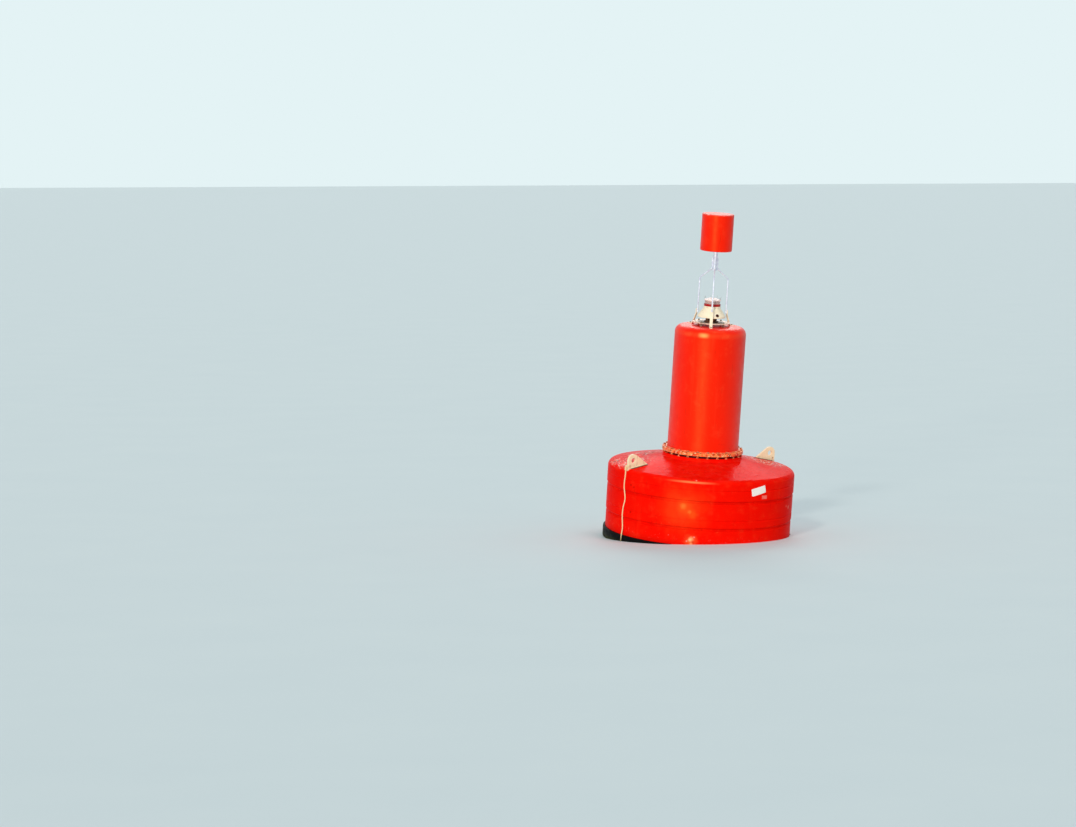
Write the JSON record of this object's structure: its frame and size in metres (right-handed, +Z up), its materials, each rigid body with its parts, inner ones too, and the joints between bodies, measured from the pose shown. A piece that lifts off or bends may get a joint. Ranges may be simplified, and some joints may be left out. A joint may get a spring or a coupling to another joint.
{
  "type": "lateral navigation buoy",
  "caption": "Floating channel marker with a round moulded float, a red tower, a caged lantern, a can topmark and a ballasted tail with mooring shackles.",
  "frame": {"origin": "on the buoy's axis at the still waterline", "axes": "+Z up along the tower, X through the two lifting lugs"},
  "size_m": [2.563, 2.5358, 6.619],
  "materials": {
    "red_plastic": "satin moulded polyethylene, weathered",
    "black_plastic": "matt moulded polyethylene with growth below the waterline",
    "rubber": "matt",
    "galvanised": "hot-dip galvanised, dull",
    "cream_paint": "weathered cream paint",
    "iron": "rusted",
    "anode_zinc": "chalky cast zinc",
    "lamp_red": "gloss",
    "lens": "clear",
    "rope": "laid rope"
  },
  "bodies": {
    "buoy": {"float_upper": "red_plastic", "tower": "red_plastic", "topmark_can": "red_plastic", "float_lower": "black_plastic", "base_seal": "rubber", "lug_pad_left": "galvanised", "lug_pad_right": "galvanised", "flange_bolts": "galvanised", "lantern_plate": "galvanised", "plate_spacers": "galvanised", "cage_bar_1": "galvanised", "cage_bar_2": "galvanised", "cage_bar_3": "galvanised", "leg_bolts": "galvanised", "topmark_post": "galvanised", "tail_plate": "galvanised", "tail_gussets": "galvanised", "tail_tube": "galvanised", "ballast_top_plate": "galvanised", "ballast_bottom_plate": "galvanised", "ballast_rods": "galvanised", "tail_foot": "galvanised", "mooring_lug_left": "galvanised", "mooring_lug_right": "galvanised", "tie_rod_nuts": "galvanised", "lifting_lug_left": "cream_paint", "lifting_lug_right": "cream_paint", "stand_leg_1": "cream_paint", "stand_leg_2": "cream_paint", "stand_leg_3": "cream_paint", "lantern_body": "cream_paint", "lantern_cap": "cream_paint", "ballast_disc_1": "iron", "ballast_disc_2": "iron", "ballast_disc_3": "iron", "lantern_pedestal": "iron", "anodes": "anode_zinc", "lantern_core": "lamp_red", "lantern_lens": "lens", "lanyard_hitch": "rope", "lanyard": "rope", "lanyard_knot": "rope"},
    "left_shackle": {"shackle_left": "iron", "shackle_pin_left": "galvanised"},
    "right_shackle": {"shackle_right": "iron", "shackle_pin_right": "galvanised"}
  },
  "joints": [
    {"name": "left_shackle_swing", "type": "hinge", "parent": "buoy", "child": "left_shackle", "pos_m": [-0.815, 0, -0.6297], "axis": [0, 1, 0], "range_deg": [-85, 85]},
    {"name": "right_shackle_swing", "type": "hinge", "parent": "buoy", "child": "right_shackle", "pos_m": [0.815, 0, -0.6297], "axis": [0, 1, 0], "range_deg": [-85, 85]}
  ]
}
